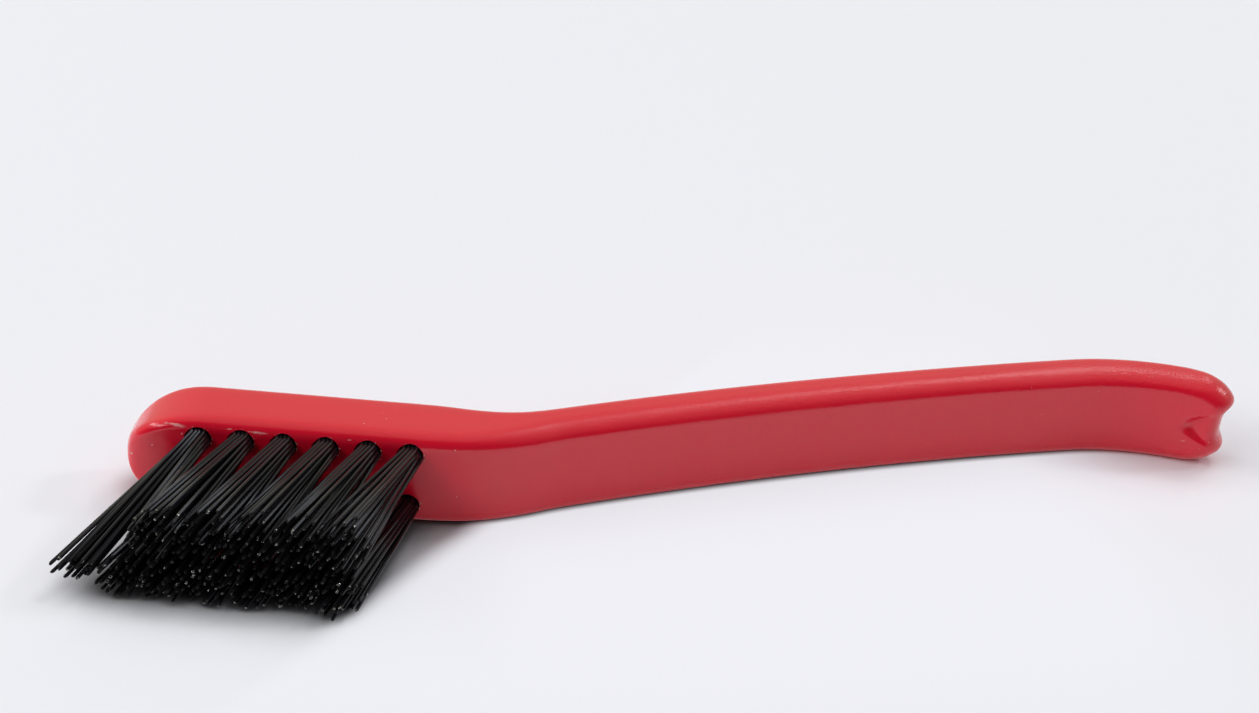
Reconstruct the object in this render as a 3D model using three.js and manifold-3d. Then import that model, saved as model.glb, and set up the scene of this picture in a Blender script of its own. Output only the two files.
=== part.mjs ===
// Cleaning brush: a moulded handle, two rows of staple-set tufts and the flat metal anchors that hold them.
// Millimetres. The brush lies on its side: +X runs from head to tail, the tufts point to -Y, +Z is up.
import * as THREE from "three";
import { mergeGeometries, mergeVertices } from "three/addons/utils/BufferGeometryUtils.js";
import Module from "manifold-3d";

// Spine of the handle, seen from above: a straight head, then three tangent arcs (turns in degrees)
const HEAD_LENGTH = 46.5;
const NECK_LENGTH = 13;
const NECK_TURN = 24;
const GRIP_LENGTH = 90;
const GRIP_TURN = -8.5;
const TAIL_LENGTH = 27.1;
const TAIL_TURN = -39;

// Cross-sections: thickness lies across the spine, width stands upright
const HEAD_THICKNESS = 11.4;
const GRIP_THICKNESS = 7.3;
const TAIL_THICKNESS = 7;
const NECK_BLEND = 4;
const HEAD_WIDTH = 14.7;
const WAIST_WIDTH = 14.4;
const TAIL_WIDTH = 14.7;
const WAIST_FROM_NECK = 56;
const EDGE_RADIUS = 2.2;

// Rounded ends, and the tail's claw: a nail nick that runs out towards the end, and a bite out of the end
const NOSE_ROUND_WIDTH = 12;
const NOSE_ROUND_THICKNESS = 8.6;
const TAIL_CORNER_RADIUS = 6.2;
const NICK_RADIUS = 3.4;
const NICK_DEPTH = 1.2;
const NICK_TO_END = 0.8;
const BITE_RADIUS = 3.2;
const BITE_DEPTH = 2;

// Blind tuft holes in the bristle face
const HOLE_DIAMETER = 4;
const HOLE_DEPTH = 7.5;
const FIRST_HOLE_FROM_TIP = 10.3;
const LAST_HOLE_TO_NECK = 5;
const HOLE_WALL = 2.06;
const SIDE_WALL = 1.15;

// Flat metal anchors, driven across the holes along the head
const ANCHOR_BITE = 0.4;
const ANCHOR_HEIGHT = 2;
const ANCHOR_THICKNESS = 0.45;
const FOLD_HEIGHT = 0.9;

// Filament tufts: they lean towards the head's tip (in degrees), and the first upper one is swept out and down
const STRAND_DIAMETER = 0.48;
const STRAND_SPACING = 0.49;
const FREE_LENGTH = 24.5;
const LEAN = 19;
const TIP_TOP = 15;
const TIP_PARTING = 6.5;
const TIP_CLEARANCE = 0.6;
const TABLE_CLEARANCE = 0.4;
const SWEEP_OUT = 5.8;
const SWEEP_DOWN = 6.6;
const SWEPT_HEIGHT = 4;

// Clearance between neighbouring pieces
const FIT_GAP = 0.28;

// Fineness of the facets
const CORNER_STEPS = 5;
const NOSE_STEPS = 8;
const NECK_STEPS = 9;
const GRIP_STEPS = 10;
const TAIL_STEPS = 8;
const END_STEPS = 5;
const HOLE_SIDES = 16;
const CLAW_SIDES = 32;
const WELD = 1e-4;

const radians = THREE.MathUtils.degToRad;
const blend = THREE.MathUtils.smoothstep;

const SPINE = [
  { length: HEAD_LENGTH, turn: 0 },
  { length: NECK_LENGTH, turn: radians(NECK_TURN) },
  { length: GRIP_LENGTH, turn: radians(GRIP_TURN) },
  { length: TAIL_LENGTH, turn: radians(TAIL_TURN) },
];
const NECK_END = HEAD_LENGTH + NECK_LENGTH;
const GRIP_END = NECK_END + GRIP_LENGTH;
const SPINE_LENGTH = GRIP_END + TAIL_LENGTH;

const material = (color, roughness, metalness) =>
  new THREE.MeshStandardMaterial({ color, roughness, metalness });
const redPlastic = material(0xc8323c, 0.45, 0);
const blackFilament = material(0x14151a, 0.35, 0);
const anchorMetal = material(0xb9b6ae, 0.3, 1);

const wasm = await Module();
wasm.setup();

function toSolid(geometry, matrix = new THREE.Matrix4()) {
  const bare = geometry.clone().applyMatrix4(matrix);
  bare.deleteAttribute("normal");
  bare.deleteAttribute("uv");
  const merged = mergeVertices(bare, WELD);
  return new wasm.Manifold(
    new wasm.Mesh({
      numProp: 3,
      vertProperties: merged.attributes.position.array,
      triVerts: new Uint32Array(merged.index.array),
    }),
  );
}

function toGeometry(solid) {
  const { vertProperties, triVerts } = solid.getMesh();
  const geometry = new THREE.BufferGeometry();
  geometry.setAttribute("position", new THREE.BufferAttribute(vertProperties, 3));
  geometry.setIndex(new THREE.BufferAttribute(triVerts, 1));
  geometry.computeVertexNormals();
  return geometry;
}

// Skin over rings of equal count, closed at both ends: each ring turns right-handed about the way ahead
function loft(rings) {
  const count = rings[0].length;
  const centre = (ring) =>
    ring.reduce((sum, point) => sum.add(point), new THREE.Vector3()).divideScalar(count);
  const points = [...rings.flat(), centre(rings[0]), centre(rings.at(-1))];
  const firstCentre = rings.length * count;
  const lastRing = (rings.length - 1) * count;
  const faces = [];
  for (let j = 0; j < count; j++) {
    const next = (j + 1) % count;
    faces.push(firstCentre, next, j);
    faces.push(firstCentre + 1, lastRing + j, lastRing + next);
    for (let ring = 0; ring < lastRing; ring += count) {
      faces.push(ring + j, ring + next, ring + count + next);
      faces.push(ring + j, ring + count + next, ring + count + j);
    }
  }
  const geometry = new THREE.BufferGeometry().setFromPoints(points);
  geometry.setIndex(faces);
  return geometry;
}

// Place and heading on the spine at a distance from the head's tip, where it sets off with a given yaw
function spineFrom(yaw, distance) {
  const place = new THREE.Vector3();
  let heading = yaw;
  let left = distance;
  for (const { length, turn } of SPINE) {
    const run = Math.min(left, length);
    const swing = (turn * run) / length;
    const chord = swing === 0 ? run : ((2 * length) / turn) * Math.sin(swing / 2);
    const course = heading + swing / 2;
    place.add(new THREE.Vector3(Math.cos(course), Math.sin(course), 0).multiplyScalar(chord));
    heading += swing;
    left -= run;
  }
  return { place, heading };
}

// The line from the head's tip to the end of the tail lies along X
const tailEnd = spineFrom(0, SPINE_LENGTH).place;
const headYaw = -Math.atan2(tailEnd.y, tailEnd.x);
const spineAt = (distance) => spineFrom(headYaw, distance);

// Quarter ellipse from 0 at the end to 1 at the full reach
const roundEnd = (distance, reach) =>
  distance >= reach ? 1 : Math.sqrt(1 - (1 - distance / reach) ** 2);

function halfThickness(distance) {
  const slimming = blend(distance, HEAD_LENGTH - NECK_BLEND, NECK_END + NECK_BLEND);
  const tapering = blend(distance, NECK_END + NECK_BLEND, SPINE_LENGTH);
  const thickness =
    HEAD_THICKNESS +
    (GRIP_THICKNESS - HEAD_THICKNESS) * slimming +
    (TAIL_THICKNESS - GRIP_THICKNESS) * tapering;
  const nose = roundEnd(distance, NOSE_ROUND_THICKNESS);
  const tailRounding = 1 - roundEnd(SPINE_LENGTH - distance, EDGE_RADIUS);
  return (thickness / 2) * nose - EDGE_RADIUS * tailRounding;
}

function halfWidth(distance) {
  const waist = NECK_END + WAIST_FROM_NECK;
  const width =
    HEAD_WIDTH +
    (WAIST_WIDTH - HEAD_WIDTH) * blend(distance, HEAD_LENGTH, waist) +
    (TAIL_WIDTH - WAIST_WIDTH) * blend(distance, waist, SPINE_LENGTH - TAIL_CORNER_RADIUS);
  const nose = roundEnd(distance, NOSE_ROUND_WIDTH);
  const tailRounding = 1 - roundEnd(SPINE_LENGTH - distance, TAIL_CORNER_RADIUS);
  return (width / 2) * nose - TAIL_CORNER_RADIUS * tailRounding;
}

// Rounded rectangle across the spine, its middle at half the head's width
function handleRing(distance) {
  const { place, heading } = spineAt(distance);
  const across = new THREE.Vector3(-Math.sin(heading), Math.cos(heading), 0);
  const thick = halfThickness(distance);
  const wide = halfWidth(distance);
  const almostRound = 0.97;
  const radius = Math.min(EDGE_RADIUS, almostRound * thick, almostRound * wide);
  const ring = [];
  for (let corner = 0; corner < 4; corner++) {
    const middle = Math.PI * (corner / 2 + 1 / 4);
    for (let step = 0; step <= CORNER_STEPS; step++) {
      const angle = (Math.PI / 2) * (corner + step / CORNER_STEPS);
      const out = Math.sign(Math.cos(middle)) * (thick - radius) + radius * Math.cos(angle);
      const up = Math.sign(Math.sin(middle)) * (wide - radius) + radius * Math.sin(angle);
      const point = place.clone().addScaledVector(across, out);
      point.z = HEAD_WIDTH / 2 + up;
      ring.push(point);
    }
  }
  return ring;
}

// Ring distances: close together where an end rounds off, even along each stretch of the spine
function handleStations() {
  const quarter = Math.PI / 2;
  const stations = [];
  for (let i = 0; i < NOSE_STEPS; i++)
    stations.push(NOSE_ROUND_WIDTH * (1 - Math.cos((quarter * (i + 1 / 4)) / NOSE_STEPS)));
  const even = (from, to, steps) => {
    for (let i = 0; i < steps; i++)
      stations.push(from + ((to - from) * i) / steps);
  };
  even(NOSE_ROUND_WIDTH, HEAD_LENGTH - NECK_BLEND, 1);
  even(HEAD_LENGTH - NECK_BLEND, NECK_END + NECK_BLEND, NECK_STEPS);
  even(NECK_END + NECK_BLEND, GRIP_END, GRIP_STEPS);
  even(GRIP_END, SPINE_LENGTH - TAIL_CORNER_RADIUS, TAIL_STEPS);
  for (let i = 0; i <= END_STEPS; i++)
    stations.push(SPINE_LENGTH - TAIL_CORNER_RADIUS * (1 - Math.sin((quarter * i) / END_STEPS)));
  return stations;
}

// Tuft layout in the head's own frame: x along the head, y = 0 at the bristle face, z up
const holeRadius = HOLE_DIAMETER / 2;
const holePitch = HOLE_DIAMETER + HOLE_WALL;
const rowLength = HEAD_LENGTH - FIRST_HOLE_FROM_TIP - LAST_HOLE_TO_NECK;
const tuftsInRow = 1 + Math.floor(rowLength / holePitch);
const lowerRowHeight = SIDE_WALL + holeRadius;
const rowSpacing = HEAD_WIDTH - 2 * lowerRowHeight;
const anchorLength = HOLE_DIAMETER + 2 * ANCHOR_BITE;
const anchorDepth = HOLE_DEPTH - 2 * FIT_GAP - FOLD_HEIGHT - ANCHOR_HEIGHT / 2;

// The tips of a tuft spread until they come near the next tuft, the other row or the table
const leanReach = FREE_LENGTH * Math.tan(radians(LEAN));
const tipReachAlong = (holePitch - TIP_CLEARANCE) / 2;
const rows = [
  {
    row: "upper",
    up: lowerRowHeight + rowSpacing,
    lowest: TIP_PARTING + TIP_CLEARANCE / 2,
    highest: TIP_TOP,
  },
  {
    row: "lower",
    up: lowerRowHeight,
    lowest: TABLE_CLEARANCE,
    highest: TIP_PARTING - TIP_CLEARANCE / 2,
  },
];

const tufts = [];
for (const { row, up, lowest, highest } of rows) {
  for (let i = 0; i < tuftsInRow; i++) {
    const root = new THREE.Vector3(FIRST_HOLE_FROM_TIP + holePitch * i, 0, up);
    const fan = {
      middle: new THREE.Vector2(-leanReach, (lowest + highest) / 2 - up),
      along: new THREE.Vector2(tipReachAlong, 0),
      upward: (highest - lowest) / 2,
    };
    if (row === "upper" && i === 0) {
      const sweep = new THREE.Vector2(SWEEP_OUT, SWEEP_DOWN).divideScalar(2);
      fan.middle.sub(sweep);
      fan.along.add(sweep);
      fan.upward = SWEPT_HEIGHT / 2;
    }
    tufts.push({ name: `${row}_${i + 1}`, root, fan });
  }
}

const plugRadius = holeRadius - FIT_GAP;
const strandCircle = plugRadius - STRAND_DIAMETER / 2;
const strandRings = Math.floor(strandCircle / STRAND_SPACING);

// A cylinder along y from one depth below the bristle face to another
function depthCylinder(radius, top, bottom) {
  const cylinder = new THREE.CylinderGeometry(radius, radius, bottom - top, HOLE_SIDES);
  return cylinder.translate(0, (top + bottom) / 2, 0);
}

function depthBox(length, top, bottom, thickness) {
  return new THREE.BoxGeometry(length, bottom - top, thickness).translate(0, (top + bottom) / 2, 0);
}

// One hole: the bore, and the slit that the anchor's ends cut into its walls on the way down
function holeCutter() {
  const above = EDGE_RADIUS;
  const bore = toSolid(depthCylinder(holeRadius, -above, HOLE_DEPTH));
  const slitLength = anchorLength + 2 * FIT_GAP;
  const slitFloor = anchorDepth + ANCHOR_HEIGHT / 2 + FIT_GAP;
  const slit = depthBox(slitLength, -above, slitFloor, ANCHOR_THICKNESS + 2 * FIT_GAP);
  return bore.add(toSolid(slit));
}

// The claw: a tilted round nick in the bristle face, deepest away from the end, and a hollow through the end
function clawCutter() {
  const start = spineAt(SPINE_LENGTH - NICK_TO_END);
  const length = 2 * NICK_RADIUS;
  const nick = new THREE.CylinderGeometry(NICK_RADIUS, NICK_RADIUS, length, CLAW_SIDES);
  nick.translate(-NICK_RADIUS, -length / 2, 0);
  nick.rotateZ(-Math.atan2(NICK_DEPTH, length));
  nick.translate(0, -TAIL_THICKNESS / 2, 0);
  nick.rotateZ(start.heading);
  nick.translate(start.place.x, start.place.y, HEAD_WIDTH / 2);
  const end = spineAt(SPINE_LENGTH);
  const bite = new THREE.CylinderGeometry(BITE_RADIUS, BITE_RADIUS, 2 * TAIL_THICKNESS, CLAW_SIDES);
  bite.translate(BITE_RADIUS - BITE_DEPTH, 0, 0);
  bite.rotateZ(end.heading);
  bite.translate(end.place.x, end.place.y, HEAD_WIDTH / 2);
  return toSolid(nick).add(toSolid(bite));
}

function handleGeometry(headMatrix) {
  let body = toSolid(loft(handleStations().map(handleRing)));
  const cutter = toGeometry(holeCutter());
  for (const { root } of tufts) {
    const toHole = new THREE.Matrix4().makeTranslation(root);
    body = body.subtract(toSolid(cutter, toHole.premultiply(headMatrix)));
  }
  return toGeometry(body.subtract(clawCutter()));
}

// Hexagonal packing of the strands at the root, in shares of the packing radius
function packing(rings) {
  const places = [];
  for (let q = -rings; q <= rings; q++)
    for (let r = Math.max(-rings, -q - rings); r <= Math.min(rings, rings - q); r++)
      places.push(new THREE.Vector2(q + r / 2, (r * Math.sqrt(3)) / 2).divideScalar(rings));
  return places;
}

function strandRing(x, y, z) {
  const ring = [];
  for (let corner = 0; corner < 3; corner++) {
    const angle = (2 * Math.PI * corner) / 3;
    const out = new THREE.Vector3(Math.cos(angle), 0, Math.sin(angle));
    ring.push(out.multiplyScalar(STRAND_DIAMETER / 2).add(new THREE.Vector3(x, y, z)));
  }
  return ring;
}

// The packed root, slotted where it folds round its anchor, and the strands that fan out from it
function tuftGeometry({ middle, along, upward }) {
  const rootDepth = HOLE_DEPTH - FIT_GAP;
  const slotTop = anchorDepth - ANCHOR_HEIGHT / 2 - FIT_GAP;
  const slotFloor = anchorDepth + ANCHOR_HEIGHT / 2 + FIT_GAP;
  const slot = depthBox(HOLE_DIAMETER, slotTop, slotFloor, ANCHOR_THICKNESS + 2 * FIT_GAP);
  const root = toSolid(depthCylinder(plugRadius, 0, rootDepth)).subtract(toSolid(slot));
  const embedded = slotTop / 2;
  const strands = packing(strandRings).map((share) => {
    const x = share.x * strandCircle;
    const z = share.y * strandCircle;
    const tip = along.clone().multiplyScalar(share.x).add(middle);
    tip.y += share.y * upward;
    return loft([
      strandRing(x, embedded, z),
      strandRing(x, 0, z),
      strandRing(tip.x, -FREE_LENGTH, tip.y),
    ]);
  });
  return toGeometry(root.add(toSolid(mergeGeometries(strands))));
}

const head = new THREE.Group();
head.rotation.z = headYaw;
const faceOffset = new THREE.Vector3(0, -HEAD_THICKNESS / 2, 0);
head.position.copy(faceOffset.applyEuler(head.rotation));
head.updateMatrix();

const handle = new THREE.Mesh(handleGeometry(head.matrix), redPlastic);
handle.name = "handle";

const anchorGeometry = depthBox(
  anchorLength,
  anchorDepth - ANCHOR_HEIGHT / 2,
  anchorDepth + ANCHOR_HEIGHT / 2,
  ANCHOR_THICKNESS,
);
for (const { name, root, fan } of tufts) {
  const tuft = new THREE.Mesh(tuftGeometry(fan), blackFilament);
  tuft.name = `tuft_${name}`;
  tuft.position.copy(root);
  const anchor = new THREE.Mesh(anchorGeometry, anchorMetal);
  anchor.name = `anchor_${name}`;
  anchor.position.copy(root);
  head.add(tuft, anchor);
}

// Origin: the middle of the brush's outline on the table, with the brush standing on z = 0
const brush = new THREE.Group();
brush.add(handle, head);
const bounds = new THREE.Box3().setFromObject(brush, true);
const middle = bounds.getCenter(new THREE.Vector3());
brush.position.set(-middle.x, -middle.y, -bounds.min.z);

const part = new THREE.Group();
part.add(brush);
export default part;
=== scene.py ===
"""Red hand brush with black staple-set tufts, lying on its side on a pale table."""
import math
import random

import bmesh
import bpy
from mathutils import Matrix, Vector


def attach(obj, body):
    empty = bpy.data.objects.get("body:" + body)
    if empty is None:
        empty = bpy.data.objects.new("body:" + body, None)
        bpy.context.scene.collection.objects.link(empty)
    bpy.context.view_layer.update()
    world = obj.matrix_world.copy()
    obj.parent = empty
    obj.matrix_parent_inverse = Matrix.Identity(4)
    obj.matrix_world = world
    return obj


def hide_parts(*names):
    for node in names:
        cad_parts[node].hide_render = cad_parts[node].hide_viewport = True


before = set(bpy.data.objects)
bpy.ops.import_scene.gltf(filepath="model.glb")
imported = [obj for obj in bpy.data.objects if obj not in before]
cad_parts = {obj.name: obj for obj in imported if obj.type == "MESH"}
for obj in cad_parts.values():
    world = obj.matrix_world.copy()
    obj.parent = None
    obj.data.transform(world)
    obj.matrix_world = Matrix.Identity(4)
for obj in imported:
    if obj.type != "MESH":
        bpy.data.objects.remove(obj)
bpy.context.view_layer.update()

# Sizes are in millimetres and turns in degrees until a point is placed
MM = 0.001

# Spine of the handle: a straight head, then three tangent arcs, each a length and a turn
HEAD_LENGTH = 46.5
SPINE = ((HEAD_LENGTH, 0.0), (13.0, 24.0), (90.0, -8.5), (27.1, -39.0))
NECK_END = SPINE[0][0] + SPINE[1][0]
GRIP_END = NECK_END + SPINE[2][0]
SPINE_LENGTH = GRIP_END + SPINE[3][0]
NOSE_TIP = Vector((-80.9125, 12.8855))

# Cross-sections: thickness lies across the spine, width stands upright
HEAD_THICKNESS, GRIP_THICKNESS, TAIL_THICKNESS = 11.4, 7.3, 7.0
HEAD_WIDTH, WAIST_WIDTH, TAIL_WIDTH = 14.7, 14.4, 14.7
MIDDLE = HEAD_WIDTH / 2
WAIST = NECK_END + 56
NECK_BLEND = 4

# Long edges: spans run from the nose or back from the tail's end, a crown is a share of the radius
EDGE_RADIUS, NOSE_EDGE_RADIUS, TAIL_EDGE_RADIUS = 2.2, 1.4, 3.2
NOSE_EDGE_SPAN, TAIL_EDGE_SPAN = (5, 17), (9, 2)
GRIP_CROWN, TAIL_CROWN = 0.6, 1.0
CROWN_RISE = 20
LARGEST_EDGE_SHARE = 0.97

# Rounded ends: powers over 2 make an end blunter than an ellipse
NOSE_ROUND_WIDTH, NOSE_ROUND_THICKNESS = 11.6, 9.3
FRONT_POWERS, BACK_POWERS = (4.2, 2.2), (2, 2)
NOSE_LEAN = 0.25
TAIL_CORNER_RADIUS = 6.2

# Claw in the tail
UPPER_LOBE_EXTRA, LOWER_LOBE_EXTRA = 0.85, 0.5
BITE_DEPTH, BITE_HALF_WIDTH, BITE_FADE = 2.15, 3.4, 9
NICK_REACH, NICK_LENGTH, NICK_HALF_WIDTH, NICK_LOWERED = 8.1, 6.6, 3.5, 0.3
NICK_DEPTH, NICK_WALL, NICK_FLOOR_POWER = 1.7, 0.42, 1.2

# Fineness of the handle's skin
NOSE_STEPS, HEAD_STEPS, NECK_STEPS, GRIP_STEPS, TAIL_STEPS, END_STEPS = 36, 28, 30, 64, 30, 44
CAP_STEPS = 6
CORNER_STEPS = 9
FLAT_STEPS = (5, 46, 5, 9)
HOLE_SIDES = 40
WELD_DISTANCE = 2e-7
SHARP_EDGE = 38

# Tufts in their holes: lengths are a mean and a scatter
ROWS = {"upper": 11.55, "lower": 3.15}
TUFTS_IN_ROW = 6
FIRST_HOLE, HOLE_PITCH = 10.3, 6.06
HOLE_RADIUS, HOLE_DEPTH = 2.0, 7.5
STRAND_RADIUS = 0.28
STRAND_RINGS = 3
STRAND_PITCH = 0.56
ROOT_DEPTH, MOUTH_OUT, MOUTH_SPREAD = 2.5, 0.5, 1.02
LENGTHS = {"upper": (24.0, 0.5), "lower": (24.4, 0.5)}

# A filament of unit length: how far up its rings lie, and how wide they are
ROOT_SHARE = 0.2
STRAND_SIDES = 7
STRAND_LEVELS = (0, ROOT_SHARE, 0.6, 0.99, 0.997, 1)
STRAND_WIDTHS = (1, 1, 1, 1, 0.8, 0.4)
CUT_END_FROM = 0.98

# Fans of tips, along the head and up: a middle or a start, then a reach lengthwise and one upright
LOWER_LEAN, LOWER_TIP_UP = 4.4, 3.4
FIRST_LOWER_SPREAD, LOWER_SPREAD, LOWER_TILT = 3.3, 3.5, 0.3
LOWER_UPRIGHT = (-0.2, 3.0)
UPPER_LEAN, UPPER_LEAN_LESS, UPPER_TIP_UP = 8.6, 0.1, 10.8
UPPER_LENGTHWISE, UPPER_UPRIGHT = (3.9, 1.3), (-0.5, 4.4)

# The first upper tuft is parted: one part is swept out past the nose
FIRST_PARTING = 0.3
SWEPT_FAN = ((-6.4, 4.4), (5.9, -0.4), (0.5, 1.6))
INNER_FAN = ((3.6, 9.3), (3.3, 4.0), (-0.2, 1.1))
HEXAGON_HALF_HEIGHT = 0.866
HEXAGON_CORNER = 0.15

# Unevenness of the filaments; the strays are in the last lower tuft
TIP_SCATTER, ROOT_SCATTER = 0.3, 0.03
BOW_UP, BOW_SCATTER, BEND_AT = 0.08, 0.07, 0.45
CUT_SLANT = 0.6
LOWEST_TIPS = (0.45, 1.4)
STRAY_EXTRA = (0.2, 2.6)
STRAY_LEFT_OF, STRAY_BELOW = 0.3, -0.2

# Crumbs of plastic round a hole: how many, where in radians, and how big
COARSE_CRUMBS, COARSE_ANGLE, COARSE_SIZE = 9, (0.1, 0.28), (0.07, 0.16)
FINE_CRUMBS, FINE_ANGLE, FINE_SIZE = 10, (0.5, 2.7), (0.03, 0.06)
CRUMB_SCATTER = 0.1
CRUMB_FLATTENING, CRUMB_NARROWING, CRUMB_ROUGHNESS = (0.3, 0.6), (0.5, 1), (0.6, 1.2)

# Scuffs at the holes, specks and scratches, in millimetres from the nose: start, end, half width
SCUFFS = (
    ((3.7, -5.8, 13.55), (8.5, -7.3, 13.4), 0.45),
    ((12.5, -7.9, 13.5), (14.3, -8.1, 13.6), 0.13),
    ((15.2, -8.4, 13.5), (20.1, -9.2, 13.2), 0.28),
    ((26.6, -10.5, 13.5), (27.9, -10.7, 13.4), 0.2),
    ((29.8, -11.1, 13.4), (30.9, -11.2, 13.4), 0.2),
    ((6.7, -7.1, 12.4), (7.1, -7.1, 12.2), 0.25),
    ((2.6, -6.1, 9.9), (3.0, -6.3, 9.9), 0.25),
    ((0.0, -4.5, 7.9), (0.0, -4.7, 7.3), 0.4),
    ((32.4, -8.8, 14.7), (32.8, -8.8, 14.7), 0.18),
    ((35.8, -7.5, 14.7), (36.2, -7.5, 14.7), 0.18),
    ((45.2, -13.8, 13.2), (45.4, -13.8, 12.9), 0.2),
    ((46.0, -13.9, 5.2), (46.2, -13.9, 5.2), 0.2),
    ((114.2, 0.3, 14.3), (116.4, -0.3, 13.5), 0.2),
    ((138.0, 2.2, 6.6), (154.0, 3.5, 13.0), 0.075),
    ((165.2, 0.3, 4.2), (166.2, -0.1, 4.4), 0.08),
    ((168.0, -1.0, 3.5), (168.5, -1.2, 3.6), 0.08),
)

# Colours
DEEP_RED, BRIGHT_RED = (0.63, 0.002, 0.02, 1), (0.68, 0.003, 0.024, 1)
SCUFFED_RED = (0.74, 0.40, 0.39, 1)
TORN_RED, TORN_PALE = (0.56, 0.02, 0.03, 1), (0.80, 0.48, 0.46, 1)
DEEP_BLACK, SOFT_BLACK = (0.005, 0.005, 0.006, 1), (0.010, 0.010, 0.0115, 1)
DEEP_CUT, SOFT_CUT = (0.004, 0.004, 0.005, 1), (0.010, 0.010, 0.011, 1)
COOL_SHEEN = (0.74, 0.79, 1, 1)
DARK_STEEL, PALE_STEEL = (0.50, 0.49, 0.47, 1), (0.62, 0.61, 0.59, 1)
# The table colours the camera sees carry painted light and shade: darker at the left and lighter at
# the right against the lamps' falloff, painted shade under the bristles, and a dark colour beside
# the grip that a painted glow makes up to white
TABLE_AT_LEFT, TABLE_AT_RIGHT = (0.785, 0.791, 0.832, 1), (0.875, 0.881, 0.927, 1)
TABLE_PAINTED_SHADE = (0.03, 0.03, 0.032, 1)
TABLE_UNDER_PAINTED_GLOW = (0.14, 0.141, 0.15, 1)
TABLE_BOUNCE = (0.90, 0.905, 0.925, 1)
TABLE_PAINTED_GLOW = (0.86, 0.867, 0.92, 1)
ROOM_LIGHT = (1, 1, 1, 1)
DIM_ROOM, BRIGHT_ROOM = (0.06, 0.06, 0.06, 1), (1, 0.97, 0.80, 1)

# Table, in metres
TABLE_HALF_SIZE, TABLE_DROP = 3, 0.00005

# Camera, from the nose, with a focal length in pixels of the picture
PICTURE_WIDTH, FOCAL_PIXELS, SENSOR_WIDTH = 1259, 2600, 36
CAMERA_FROM_NOSE = Vector((-13.927, -327.734, 208.468))
TARGET_FROM_NOSE = Vector((82.446, 35.798, 0))
CAMERA_ROLL = 7
NEAREST_SEEN = 0.01

# Lamps: azimuth, elevation and distance in metres, width, height, radiance, seen in reflections
LAMPS = {
    "left_softbox": ((-91, 40, 1.4), 1.9, 0.5, 3.45, False),
    "left_strip": ((-91, 40, 1.38), 1.9, 0.12, 7, True),
    "overhead_softbox": ((5, 73, 2.2), 1.8, 1.4, 1.05, False),
    "back_softbox": ((35, 62, 2.2), 1.2, 0.8, 1.2, False),
    "front_fill": ((150, 52, 2.2), 1.4, 1.4, 0.4, False),
    "back_lamp": ((62, 58, 2.2), 0.35, 0.35, 11, False),
    "edge_lamp": ((43, 48, 2.2), 0.3, 0.7, 3.4, True),
    "right_lamp": ((84, 38, 2.2), 0.25, 0.25, 30, True),
}

BURR_SEED, TUFT_SEED = 11, 7


def smooth_step(share):
    share = min(1, max(0, share))
    return share * share * (3 - 2 * share)


def between(value, start, end):
    return smooth_step((value - start) / (end - start))


def spine_from(yaw, distance):
    """Place and heading on the spine at a distance from the head's tip, setting off with a yaw."""
    place = Vector((0, 0))
    heading = yaw
    left = distance
    for length, turn in SPINE:
        run = min(left, length)
        swing = math.radians(turn) * run / length
        chord = run if swing == 0 else 2 * length / math.radians(turn) * math.sin(swing / 2)
        course = heading + swing / 2
        place += chord * Vector((math.cos(course), math.sin(course)))
        heading += swing
        left -= run
    return place, heading


tail_end = spine_from(0, SPINE_LENGTH)[0]
HEAD_YAW = -math.atan2(tail_end.y, tail_end.x)
HEAD = (
    Matrix.Translation((NOSE_TIP.x * MM, NOSE_TIP.y * MM, 0))
    @ Matrix.Rotation(HEAD_YAW, 4, "Z")
    @ Matrix.Translation((0, -HEAD_THICKNESS / 2 * MM, 0))
)


def head_point(along, out, up):
    """A point placed from the head: along it, out of the bristle face, up from the table."""
    return HEAD @ Vector((along * MM, -out * MM, up * MM))


def from_nose(offset):
    """A point placed from where the nose's tip stands over the table."""
    return (NOSE_TIP.to_3d() + Vector(offset)) * MM


def round_end(distance, reach, power=2):
    return 1 if distance >= reach else (1 - (1 - distance / reach) ** power) ** (1 / power)


def edge_radius(distance, in_front):
    """Sharper beside the bristles at the nose, rounder at the tail's end."""
    first, last = TAIL_EDGE_SPAN
    rounding = between(distance, SPINE_LENGTH - first, SPINE_LENGTH - last)
    radius = EDGE_RADIUS + (TAIL_EDGE_RADIUS - EDGE_RADIUS) * rounding
    if in_front:
        radius -= (EDGE_RADIUS - NOSE_EDGE_RADIUS) * (1 - between(distance, *NOSE_EDGE_SPAN))
    return radius


def crown(distance):
    """How much further than its radius the top's front edge reaches over the grip."""
    share = GRIP_CROWN * between(distance, HEAD_LENGTH, NECK_END + NECK_BLEND)
    return share + (TAIL_CROWN - GRIP_CROWN) * between(distance, GRIP_END - CROWN_RISE, GRIP_END)


def half_thickness(distance, power):
    slimming = between(distance, HEAD_LENGTH - NECK_BLEND, NECK_END + NECK_BLEND)
    tapering = between(distance, NECK_END + NECK_BLEND, SPINE_LENGTH)
    thickness = HEAD_THICKNESS + (GRIP_THICKNESS - HEAD_THICKNESS) * slimming
    thickness += (TAIL_THICKNESS - GRIP_THICKNESS) * tapering
    nose_rounding = round_end(distance, NOSE_ROUND_THICKNESS, power)
    tail_rounding = 1 - round_end(SPINE_LENGTH - distance, TAIL_EDGE_RADIUS)
    return thickness / 2 * nose_rounding - TAIL_EDGE_RADIUS * tail_rounding


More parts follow.
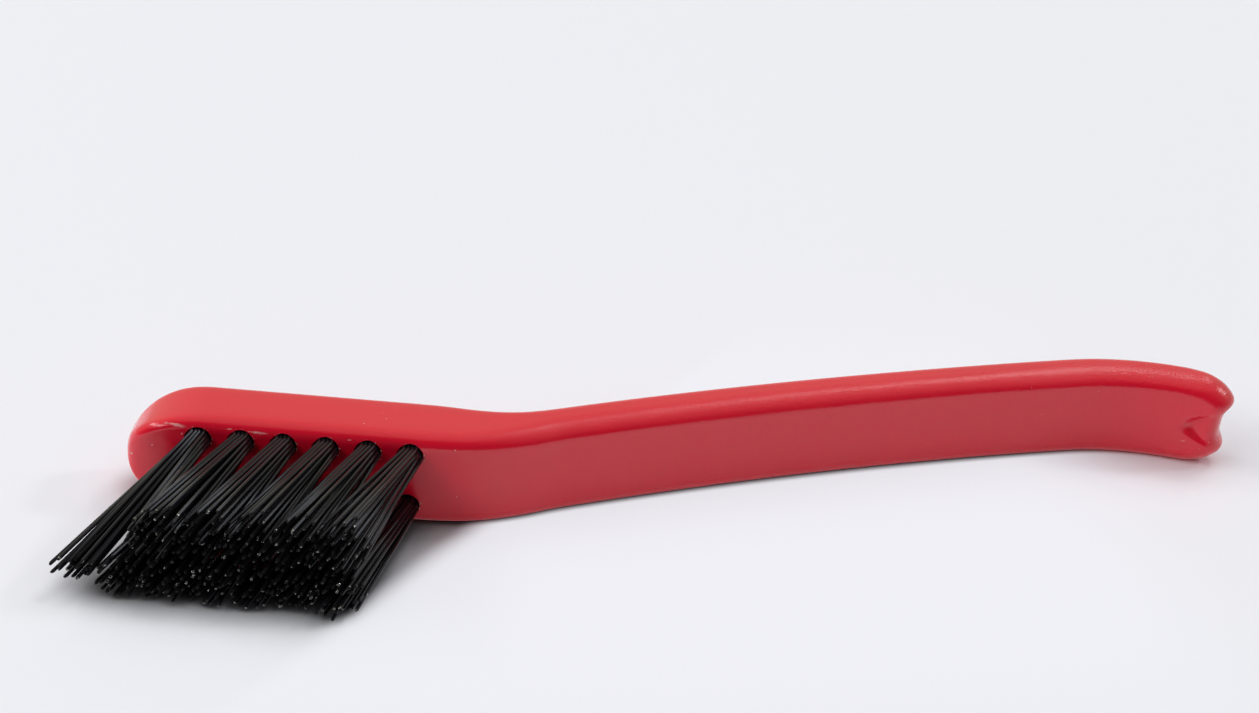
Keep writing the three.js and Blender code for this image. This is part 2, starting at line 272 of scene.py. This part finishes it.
def half_width(distance, power):
    width = HEAD_WIDTH + (WAIST_WIDTH - HEAD_WIDTH) * between(distance, HEAD_LENGTH, WAIST)
    widening = between(distance, WAIST, SPINE_LENGTH - TAIL_CORNER_RADIUS)
    width += (TAIL_WIDTH - WAIST_WIDTH) * widening
    nose_rounding = round_end(distance, NOSE_ROUND_WIDTH, power)
    tail_rounding = 1 - round_end(SPINE_LENGTH - distance, TAIL_CORNER_RADIUS)
    return width / 2 * nose_rounding - TAIL_CORNER_RADIUS * tail_rounding


def claw(distance, out, up):
    """Draws the end in between two lobes, and sinks a nail nick into the bristle face."""
    back = SPINE_LENGTH - distance
    facing = min(1, max(0, 0.5 - out / TAIL_THICKNESS))
    fade = max(0, 1 - back / BITE_FADE) ** 2
    back += BITE_DEPTH * math.exp(-((up / BITE_HALF_WIDTH) ** 4)) * fade
    lower = smooth_step(0.5 - up / TAIL_WIDTH)
    back -= (LOWER_LOBE_EXTRA * lower + UPPER_LOBE_EXTRA * (1 - lower)) * fade
    ahead = (NICK_REACH - back) / NICK_LENGTH
    across = (up + NICK_LOWERED) / NICK_HALF_WIDTH
    wall = smooth_step((ahead - across * across) / NICK_WALL)
    floor = max(0, 1 - max(0, ahead)) ** NICK_FLOOR_POWER
    return SPINE_LENGTH - back, out + NICK_DEPTH * wall * floor * facing, up


def evenly(start, end, steps):
    return [start + (end - start) * i / steps for i in range(steps)]


def handle_stations():
    """Distances along the spine, each with the share of its section left where the end closes."""
    nose_turns = evenly(0, math.pi / 2, NOSE_STEPS)
    end_turns = evenly(0, math.pi / 2, END_STEPS)
    end_start = SPINE_LENGTH - TAIL_CORNER_RADIUS
    distances = [NOSE_ROUND_WIDTH * (1 - math.cos(turn)) for turn in nose_turns]
    distances += evenly(NOSE_ROUND_WIDTH, HEAD_LENGTH - NECK_BLEND, HEAD_STEPS)
    distances += evenly(HEAD_LENGTH - NECK_BLEND, NECK_END + NECK_BLEND, NECK_STEPS)
    distances += evenly(NECK_END + NECK_BLEND, GRIP_END, GRIP_STEPS)
    distances += evenly(GRIP_END, end_start, TAIL_STEPS)
    distances += [SPINE_LENGTH - TAIL_CORNER_RADIUS * (1 - math.sin(turn)) for turn in end_turns]
    caps = [(SPINE_LENGTH, 1 - i / CAP_STEPS) for i in range(CAP_STEPS + 1)]
    return [(distance, 1) for distance in distances] + caps


def section_marks():
    """The points round a section: four rounded corners, each with the flat side that follows it."""
    marks = []
    for corner, flat_steps in enumerate(FLAT_STEPS):
        marks += [(corner, step / CORNER_STEPS, 0) for step in range(CORNER_STEPS + 1)]
        marks += [(corner, 1, point / flat_steps) for point in range(1, flat_steps)]
    return marks + marks[:1]


def corner_point(index, share, distance):
    """A point on a corner of the section: 1 is the top's front corner, 2 the one below it."""
    in_front = index in (1, 2)
    thick_power, wide_power = FRONT_POWERS if in_front else BACK_POWERS
    thick, wide = half_thickness(distance, thick_power), half_width(distance, wide_power)
    largest = LARGEST_EDGE_SHARE * min(thick, wide)
    radius = min(edge_radius(distance, in_front), largest)
    reach = min(radius * (1 + crown(distance)), 2 * thick - radius) if index == 1 else radius
    middle = math.pi * (index / 2 + 1 / 4)
    angle = math.pi / 2 * (index + share)
    return Vector((
        math.copysign(1, math.cos(middle)) * (thick - reach) + reach * math.cos(angle),
        math.copysign(1, math.sin(middle)) * (wide - radius) + radius * math.sin(angle),
    ))


def section_point(mark, distance):
    corner, turn, flat = mark
    next_corner = corner_point((corner + 1) % 4, 0, distance)
    return corner_point(corner, turn, distance).lerp(next_corner, flat)


def handle_point(station, mark):
    """A point of the handle's skin, whose nose reaches a little further on the bristle side."""
    distance, share = station
    out, up = share * section_point(mark, distance)
    distance, out, up = claw(distance, out, up)
    near_tip = max(0, 1 - distance / NOSE_ROUND_WIDTH) ** 2
    distance -= NOSE_LEAN * max(0, -out) / HEAD_THICKNESS * 2 * near_tip
    place, heading = spine_from(HEAD_YAW, distance)
    place += NOSE_TIP + out * Vector((-math.sin(heading), math.cos(heading)))
    return Vector((place.x, place.y, MIDDLE + up)) * MM


def finished(name, bm, *materials):
    """An object at the origin from a bmesh, smooth but for its sharp edges."""
    for face in bm.faces:
        face.smooth = True
    for edge in bm.edges:
        joined = len(edge.link_faces) == 2
        edge.smooth = not (joined and edge.calc_face_angle() > math.radians(SHARP_EDGE))
    mesh = bpy.data.meshes.new(name)
    bm.to_mesh(mesh)
    bm.free()
    piece = bpy.data.objects.new(name, mesh)
    bpy.context.scene.collection.objects.link(piece)
    for material in materials:
        mesh.materials.append(material)
    return piece


def wrapped_skin(stations, marks):
    """A grid wrapped round the spine, its seam and both its poles closed."""
    bm = bmesh.new()
    rows, columns = len(stations) - 1, len(marks) - 1
    bmesh.ops.create_grid(bm, x_segments=rows, y_segments=columns, size=0.5)
    for vert in bm.verts:
        row = round((vert.co.x + 0.5) * rows)
        column = round((vert.co.y + 0.5) * columns)
        vert.co = handle_point(stations[row], marks[column])
    bmesh.ops.remove_doubles(bm, verts=bm.verts, dist=WELD_DISTANCE)
    bmesh.ops.recalc_face_normals(bm, faces=bm.faces)
    return bm


def tuft_roots():
    for row, up in ROWS.items():
        for index in range(TUFTS_IN_ROW):
            yield row, index, FIRST_HOLE + HOLE_PITCH * index, up


def hole_cutter():
    """Cylinders as deep as the holes that reach well out of the bristle face."""
    bm = bmesh.new()
    above = 2 * EDGE_RADIUS
    across = Matrix.Rotation(math.pi / 2, 4, "X")
    for _, _, along, up in tuft_roots():
        middle = Vector((along, (HOLE_DEPTH - above) / 2, up)) * MM
        bmesh.ops.create_cone(
            bm, cap_ends=True, segments=HOLE_SIDES,
            radius1=HOLE_RADIUS * MM, radius2=HOLE_RADIUS * MM, depth=(HOLE_DEPTH + above) * MM,
            matrix=HEAD @ Matrix.Translation(middle) @ across,
        )
    return finished("hole_cutter", bm)


def drilled(bm, cutter):
    """The skin with the tuft holes cut into it."""
    blank = finished("blank", bm)
    cut = blank.modifiers.new("holes", "BOOLEAN")
    cut.operation = "DIFFERENCE"
    cut.solver = "EXACT"
    cut.object = cutter
    shaped = blank.evaluated_get(bpy.context.evaluated_depsgraph_get())
    holed = bmesh.new()
    holed.from_mesh(shaped.to_mesh())
    for spent in (blank, cutter):
        bpy.data.objects.remove(spent)
    return holed


def strand_template(bm):
    """One straight filament of unit length along z, its tip rounded and its cut end marked."""
    made = bmesh.ops.create_cone(
        bm, cap_ends=True, segments=STRAND_SIDES, radius1=STRAND_RADIUS, radius2=STRAND_RADIUS,
        depth=1, matrix=Matrix.Translation((0, 0, 0.5)),
    )
    lengthwise = {
        edge for vert in made["verts"] for edge in vert.link_edges
        if abs(edge.verts[0].co.z - edge.verts[1].co.z) > 0.5
    }
    last_level = len(STRAND_LEVELS) - 1
    bmesh.ops.subdivide_edges(bm, edges=list(lengthwise), cuts=last_level - 1)
    for vert in bm.verts:
        level = round(vert.co.z * last_level)
        vert.co.z = STRAND_LEVELS[level]
        vert.co.xy *= STRAND_WIDTHS[level]
    for face in bm.faces:
        face.material_index = int(min(vert.co.z for vert in face.verts) > CUT_END_FROM)
    return list(bm.verts) + list(bm.edges) + list(bm.faces)


def verts_of(parts):
    return [part for part in parts if isinstance(part, bmesh.types.BMVert)]


def packing(rings):
    """Hexagonal packing in shares of its radius."""
    for q in range(-rings, rings + 1):
        for r in range(max(-rings, -q - rings), min(rings, rings - q) + 1):
            yield Vector((q + r / 2, r * math.sqrt(3) / 2)) / rings


def in_fan(start, lengthwise, upright, far, high):
    return Vector(start) + far * Vector(lengthwise) + high * Vector(upright)


def first_upper_tip(share):
    """A tip of the parted tuft, whose packing is stretched from a hexagon to a band."""
    narrowing = HEXAGON_CORNER + 2 * HEXAGON_HALF_HEIGHT * (1 - abs(share.x))
    high = share.y / min(HEXAGON_HALF_HEIGHT, narrowing)
    if share.x < FIRST_PARTING:
        return in_fan(*SWEPT_FAN, (share.x + 1) / (FIRST_PARTING + 1), high)
    return in_fan(*INNER_FAN, (share.x - FIRST_PARTING) / (1 - FIRST_PARTING), high)


def tip_of(row, index, along, share):
    """Where the filament at a share of the root's radius ends: along the head, and up."""
    if row == "lower":
        spread = FIRST_LOWER_SPREAD if index == 0 else LOWER_SPREAD
        start = (along - LOWER_LEAN - spread, LOWER_TIP_UP)
        return in_fan(start, (spread, LOWER_TILT), LOWER_UPRIGHT, share.x, share.y)
    if index == 0:
        return first_upper_tip(share)
    start = (along - UPPER_LEAN + UPPER_LEAN_LESS * index, UPPER_TIP_UP)
    return in_fan(start, UPPER_LENGTHWISE, UPPER_UPRIGHT, share.x, share.y)


def strand_course(row, index, along, up, share, draw):
    """A filament's start in the hole, mouth, bend and tip, and the slant of its cut end."""
    tip_place = tip_of(row, index, along, share)
    tip_place += Vector((draw.gauss(0, TIP_SCATTER), draw.gauss(0, TIP_SCATTER)))
    length = draw.gauss(*LENGTHS[row])
    tip_place.y = max(tip_place.y, draw.uniform(*LOWEST_TIPS))
    in_last_lower = row == "lower" and index == TUFTS_IN_ROW - 1
    if in_last_lower and share.y < STRAY_BELOW and share.x < STRAY_LEFT_OF:
        length += draw.uniform(*STRAY_EXTRA)
    scatter = Vector((draw.gauss(0, ROOT_SCATTER), draw.gauss(0, ROOT_SCATTER)))
    root = share * STRAND_RINGS * STRAND_PITCH + scatter
    start = Vector((along + root.x, -ROOT_DEPTH, up + root.y))
    mouth = Vector((along + root.x * MOUTH_SPREAD, MOUTH_OUT, up + root.y * MOUTH_SPREAD))
    tip = Vector((tip_place.x, length, tip_place.y))
    bow = Vector((draw.gauss(0, BOW_SCATTER), 0, draw.gauss(BOW_UP, BOW_SCATTER)))
    bend = mouth.lerp(tip, BEND_AT) + bow
    slant = Vector((draw.uniform(-CUT_SLANT, CUT_SLANT), draw.uniform(-CUT_SLANT, CUT_SLANT)))
    return start, mouth, bend, tip, slant


def on_course(point, start, mouth, bend, tip, slant):
    """Carries a point of the straight template to its place on a bent filament."""
    if point.z < ROOT_SHARE / 2:
        centre = start
        way = mouth - start
    else:
        s = (point.z - ROOT_SHARE) / (1 - ROOT_SHARE)
        centre = (1 - s) ** 2 * mouth + 2 * s * (1 - s) * bend + s * s * tip
        way = (1 - s) * (bend - mouth) + s * (tip - bend)
    way = way.normalized()
    side = way.cross(Vector((0, 0, 1))).normalized()
    rise = side.cross(way)
    if point.z > CUT_END_FROM:
        centre = centre + way * slant.dot(point.xy)
    return head_point(*(centre + point.x * side + point.y * rise))


def tuft_mesh(row, index, along, up, draw):
    """Filaments that leave their hole side by side and fan out to their cut ends."""
    bm = bmesh.new()
    template = strand_template(bm)
    for share in packing(STRAND_RINGS):
        course = strand_course(row, index, along, up, share, draw)
        copied = bmesh.ops.duplicate(bm, geom=template)
        for vert in verts_of(copied["geom"]):
            vert.co = on_course(vert.co, *course)
    bmesh.ops.delete(bm, geom=verts_of(template), context="VERTS")
    bmesh.ops.recalc_face_normals(bm, faces=bm.faces)
    return bm


def on_rim(along, up, angle, radius):
    """A point of the bristle face, or of its rounded edge, at a distance round a hole's middle."""
    across, rise = radius * math.cos(angle), radius * math.sin(angle)
    edge = edge_radius(along + across, True)
    above = max(0, abs(up + rise - MIDDLE) - (MIDDLE - edge))
    drop = edge - math.sqrt(max(0, edge ** 2 - above ** 2))
    return head_point(along + across, -drop, up + rise)


def rim_burrs(draw):
    """Crumbs torn up at the holes: coarse where the anchor went in, fine over the top."""
    bm = bmesh.new()
    diagonal = Vector.Fill(3, 1).normalized()
    for _, _, along, up in tuft_roots():
        coarse = [
            (draw.gauss(*COARSE_ANGLE), draw.uniform(*COARSE_SIZE)) for _ in range(COARSE_CRUMBS)
        ]
        fine = [(draw.uniform(*FINE_ANGLE), draw.uniform(*FINE_SIZE)) for _ in range(FINE_CRUMBS)]
        for angle, size in coarse + fine:
            radius = HOLE_RADIUS + abs(draw.gauss(0, CRUMB_SCATTER))
            place = Matrix.Translation(on_rim(along, up, angle, radius))
            turned = Matrix.Rotation(draw.uniform(0, math.tau), 4, diagonal)
            length = size * MM
            flat = length * draw.uniform(*CRUMB_FLATTENING)
            narrow = length * draw.uniform(*CRUMB_NARROWING)
            shape = Matrix.Diagonal((length, flat, narrow, 1))
            crumb = bmesh.ops.create_icosphere(bm, subdivisions=1, radius=1)["verts"]
            for vert in crumb:
                vert.co *= draw.uniform(*CRUMB_ROUGHNESS)
            bmesh.ops.transform(bm, matrix=place @ turned @ shape, verts=crumb)
    bmesh.ops.recalc_face_normals(bm, faces=bm.faces)
    return bm


def feed(node, inputs):
    """Links sockets to a node's inputs, and sets plain values on them."""
    for key, value in inputs.items():
        if isinstance(value, bpy.types.NodeSocket):
            node.id_data.links.new(value, node.inputs[key])
        else:
            node.inputs[key].default_value = value


def node_maker(tree):
    def add(kind, inputs, **settings):
        made = tree.nodes.new(kind)
        for key, value in settings.items():
            setattr(made, key, value)
        feed(made, inputs)
        return made

    return add


def shader(name):
    """A new material, its main shader, a maker of nodes and the place on the piece."""
    material = bpy.data.materials.new(name)
    material.use_nodes = True
    tree = material.node_tree
    add = node_maker(tree)
    place = add("ShaderNodeTexCoord", {}).outputs["Object"]
    return material, tree.nodes["Principled BSDF"], add, place


def reckon(add, operation, *values):
    return add("ShaderNodeMath", dict(enumerate(values)), operation=operation).outputs[0]


def ramp(add, value, start, end, first=0.0, last=1.0, shape="LINEAR"):
    """A value that goes from first to last while another goes from start to end."""
    return add("ShaderNodeMapRange", {
        "Value": value, "From Min": start, "From Max": end, "To Min": first, "To Max": last,
    }, interpolation_type=shape).outputs["Result"]


def noise(add, place, scale, detail):
    inputs = {"Vector": place, "Scale": scale, "Detail": detail}
    return add("ShaderNodeTexNoise", inputs).outputs["Fac"]


def drawn_out(add, place, scale):
    return add("ShaderNodeMapping", {"Vector": place, "Scale": scale}).outputs["Vector"]


def mix_colour(add, share, first, second):
    mixed = add("ShaderNodeMix", {}, data_type="RGBA")
    feed(mixed, {0: share, 6: first, 7: second})
    return mixed.outputs[2]


def mark_share(add, place, start, end, reach):
    """How strongly a scuff from one point to another shows at a place."""
    start, end = from_nose(start), from_nose(end)
    way = end - start
    local = add("ShaderNodeMapping", {
        "Vector": place,
        "Location": (start + end) / 2,
        "Rotation": way.to_track_quat("X", "Z").to_euler(),
        "Scale": (way.length / 2, reach * MM, reach * MM),
    }, vector_type="TEXTURE").outputs["Vector"]
    gradient = add("ShaderNodeTexGradient", {"Vector": local}, gradient_type="SPHERICAL")
    return gradient.outputs["Fac"]


def worn_share(add, place):
    """The scuffs, broken up by drawn-out noise, and scattered fine dots."""
    total = 0.0
    for start, end, reach in SCUFFS:
        total = reckon(add, "MAXIMUM", total, mark_share(add, place, start, end, reach))
    flaky = noise(add, drawn_out(add, place, (1500, 1500, 3800)), 1, 4)
    scuffs = ramp(add, reckon(add, "MULTIPLY", total, flaky), 0.15, 0.4, last=0.9)
    cells = add("ShaderNodeTexVoronoi", {"Vector": place, "Scale": 150}).outputs
    dots = ramp(add, cells["Distance"], 0.012, 0.022, first=0.22, last=0.0)
    return reckon(add, "MAXIMUM", scuffs, dots)


def red_plastic():
    """Satin red, smoother on the worn head, its fine grain showing on the grip."""
    material, main, add, place = shader("satin_red_plastic")
    cloud = noise(add, place, 160, 4)
    grain = noise(add, place, 2200, 2)
    worn = worn_share(add, place)
    along = add("ShaderNodeSeparateXYZ", {"Vector": place}).outputs["X"]
    gripped = ramp(add, along, -0.05, 0.01)
    satin = reckon(add, "MULTIPLY_ADD", gripped, 0.06, 0.15)
    uneven = reckon(add, "MULTIPLY_ADD", grain, 0.06, satin)
    depth = reckon(add, "MULTIPLY_ADD", gripped, 0.32, 0.04)
    bump = add("ShaderNodeBump", {"Height": grain, "Strength": depth, "Distance": 0.00016})
    clean = mix_colour(add, cloud, DEEP_RED, BRIGHT_RED)
    feed(main, {
        "Base Color": mix_colour(add, worn, clean, SCUFFED_RED),
        "Roughness": reckon(add, "MULTIPLY_ADD", worn, 0.3, uneven),
        "Specular IOR Level": 0.6,
        "Normal": bump.outputs["Normal"],
    })
    return material


def frayed_plastic():
    material, main, add, place = shader("frayed_plastic")
    pale = ramp(add, noise(add, place, 2200, 3), 0.42, 0.6)
    feed(main, {"Base Color": mix_colour(add, pale, TORN_RED, TORN_PALE), "Roughness": 0.5})
    return material


def black_filament():
    material, main, add, place = shader("black_filament")
    tone = noise(add, place, 700, 2)
    feed(main, {
        "Base Color": mix_colour(add, tone, DEEP_BLACK, SOFT_BLACK),
        "Roughness": ramp(add, tone, 0.0, 1.0, first=0.12, last=0.2),
        "Specular IOR Level": 0.2,
        "Specular Tint": COOL_SHEEN,
    })
    return material


def cut_filament():
    """The cut ends: some smooth enough to glint, others rough."""
    material, main, add, place = shader("cut_filament")
    patchy = noise(add, place, 1300, 1)
    glinting = ramp(add, patchy, 0.57, 0.62)
    feed(main, {
        "Base Color": mix_colour(add, patchy, DEEP_CUT, SOFT_CUT),
        "Roughness": ramp(add, glinting, 0.0, 1.0, first=0.5, last=0.14),
        "Specular IOR Level": ramp(add, glinting, 0.0, 1.0, first=0.06, last=1.0),
        "IOR": 1.9,
    })
    return material


def anchor_steel():
    material, main, add, place = shader("anchor_steel")
    lines = noise(add, drawn_out(add, place, (400, 400, 9000)), 1, 2)
    feed(main, {
        "Base Color": mix_colour(add, lines, DARK_STEEL, PALE_STEEL),
        "Metallic": 1,
        "Roughness": 0.32,
    })
    return material


def table_white():
    """Pale table whose camera colour carries painted light and shade.

    A painted glow to the camera, strongest beside the grip, keeps the shadow there light. It fades
    where ambient occlusion finds the table covered, which paints contact shade in the gap under the
    brush. Under the bristles the camera sees painted shade, drawn from ambient occlusion. A weaker
    painted glow reaches bounced and reflected rays and lights the brush. The camera colour is
    painted darker at the left and lighter at the right, against the lamps' falloff.
    """
    material, main, add, place = shader("table_white")
    rays = add("ShaderNodeLightPath", {}).outputs
    seen = rays["Is Camera Ray"]
    spot = add("ShaderNodeSeparateXYZ", {"Vector": place}).outputs

    away = reckon(add, "ABSOLUTE", spot["Y"])
    near = ramp(add, away, 0.025, 0.075, 1.0, 0.0, "SMOOTHSTEP")
    leaning = reckon(add, "MULTIPLY_ADD", spot["Y"], -0.94, spot["X"])
    past_head = ramp(add, leaning, -0.034, -0.027, shape="SMOOTHSTEP")
    before_tail = ramp(add, spot["X"], 0.055, 0.085, 1.0, 0.0, "SMOOTHSTEP")
    along_grip = reckon(add, "MULTIPLY", past_head, before_tail)
    beside = reckon(add, "MULTIPLY", along_grip, near)
    openness = add("ShaderNodeAmbientOcclusion", {"Distance": 0.012}, samples=16).outputs["AO"]

    # painted gradient: the camera colour is darker at the left and lighter at the right, against
    # the lamps' falloff
    evened = mix_colour(add, ramp(add, spot["X"], -0.15, 0.3), TABLE_AT_LEFT, TABLE_AT_RIGHT)
    # painted shade under the bristles: the camera colour darkens towards near black where ambient
    # occlusion finds the table covered near the head
    painted_shade_near_head = mix_colour(add, ramp(add, openness, 0.3, 0.8), TABLE_PAINTED_SHADE, evened)
    shaded = mix_colour(add, past_head, painted_shade_near_head, evened)
    # beside the grip the camera colour is dark, and a painted glow makes it up to white, which
    # keeps the shadow there light
    plain = mix_colour(add, beside, shaded, TABLE_UNDER_PAINTED_GLOW)

    # painted glow to the camera, faded where ambient occlusion finds the table covered, which
    # paints contact shade in the gap under the brush
    share = reckon(add, "MULTIPLY_ADD", beside, 0.79, 0.04)
    open_share = reckon(add, "MULTIPLY", ramp(add, openness, 0.12, 0.45), share)
    painted_glow_to_camera = reckon(add, "MULTIPLY", seen, open_share)
    # painted glow to bounced and reflected rays: the table lights the brush and shows brighter in
    # its reflections, though it is no lamp
    bounced = reckon(add, "MAXIMUM", rays["Is Diffuse Ray"], rays["Is Glossy Ray"])
    feed(main, {
        "Base Color": mix_colour(add, seen, TABLE_BOUNCE, plain),
        "Emission Color": TABLE_PAINTED_GLOW,
        "Emission Strength": reckon(add, "MULTIPLY_ADD", bounced, 0.13, painted_glow_to_camera),
        "Roughness": 0.6,
        "Specular IOR Level": 0.2,
    })
    return material


def add_table():
    bm = bmesh.new()
    bmesh.ops.create_grid(bm, x_segments=4, y_segments=4, size=TABLE_HALF_SIZE)
    bmesh.ops.translate(bm, verts=bm.verts, vec=(0, 0, -TABLE_DROP))
    finished("table", bm, table_white())


def aim(holder, place, target, roll=0):
    way = Vector(target) - Vector(place)
    holder.matrix_world = (
        Matrix.Translation(place)
        @ way.to_track_quat("-Z", "Y").to_matrix().to_4x4()
        @ Matrix.Rotation(math.radians(roll), 4, "Z")
    )


def add_camera():
    lens = bpy.data.cameras.new("camera")
    lens.sensor_width = SENSOR_WIDTH
    lens.sensor_fit = "HORIZONTAL"
    lens.lens = FOCAL_PIXELS * SENSOR_WIDTH / PICTURE_WIDTH
    lens.clip_start = NEAREST_SEEN
    camera = bpy.data.objects.new("camera", lens)
    bpy.context.scene.collection.objects.link(camera)
    aim(camera, from_nose(CAMERA_FROM_NOSE), from_nose(TARGET_FROM_NOSE), CAMERA_ROLL)
    bpy.context.scene.camera = camera


def towards(azimuth, elevation, distance):
    """A place seen from the table's middle: azimuth from straight behind, clockwise from above."""
    azimuth, elevation = math.radians(azimuth), math.radians(elevation)
    level = distance * math.cos(elevation)
    return level * math.sin(azimuth), level * math.cos(azimuth), distance * math.sin(elevation)


def add_lamp(name, place, width, height, radiance, mirrored):
    """An oblong lamp whose face has a given radiance, turned to the middle of the table."""
    lamp = bpy.data.lights.new(name, "AREA")
    lamp.shape = "RECTANGLE"
    lamp.size = width
    lamp.size_y = height
    lamp.energy = radiance * math.pi * width * height
    holder = bpy.data.objects.new(name, lamp)
    holder.visible_glossy = mirrored
    bpy.context.scene.collection.objects.link(holder)
    aim(holder, towards(*place), (0, 0, 0))


def add_room():
    """A pale room, dim in front, that reflections show brighter than it lights the brush."""
    world = bpy.data.worlds.new("studio")
    bpy.context.scene.world = world
    world.use_nodes = True
    tree = world.node_tree
    add = node_maker(tree)
    sky = add("ShaderNodeTexCoord", {}).outputs["Generated"]
    way = add("ShaderNodeSeparateXYZ", {"Vector": sky}).outputs
    turned = reckon(add, "MULTIPLY_ADD", way["X"], 0.35, way["Y"])
    behind = ramp(add, turned, -0.55, 0.15)
    above = ramp(add, way["Z"], 0.82, 0.95)
    bright = reckon(add, "MAXIMUM", behind, above)
    around = mix_colour(add, bright, DIM_ROOM, BRIGHT_ROOM)
    rays = add("ShaderNodeLightPath", {}).outputs
    seen = reckon(add, "MAXIMUM", rays["Is Camera Ray"], rays["Is Glossy Ray"])
    feed(tree.nodes["Background"], {
        "Color": mix_colour(add, seen, ROOM_LIGHT, around),
        "Strength": ramp(add, seen, 0.0, 1.0, first=0.18, last=0.75),
    })


red = red_plastic()
black = black_filament()
cut_ends = cut_filament()
steel = anchor_steel()

skin = wrapped_skin(handle_stations(), section_marks())
handle = finished("brush_handle", drilled(skin, hole_cutter()), red)
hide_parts("handle")
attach(handle, "root")

burrs = finished("rim_burrs", rim_burrs(random.Random(BURR_SEED)), frayed_plastic())
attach(burrs, "root")

tuft_draw = random.Random(TUFT_SEED)
for row, index, along, up in tuft_roots():
    filaments = tuft_mesh(row, index, along, up, tuft_draw)
    tuft = finished(f"filaments_{row}_{index + 1}", filaments, black, cut_ends)
    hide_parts(f"tuft_{row}_{index + 1}")
    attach(tuft, "root")
    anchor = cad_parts[f"anchor_{row}_{index + 1}"]
    anchor.data.materials.clear()
    anchor.data.materials.append(steel)

add_table()
add_camera()
add_room()
for name, lamp in LAMPS.items():
    add_lamp(name, *lamp)
bpy.context.scene.view_settings.view_transform = "Standard"
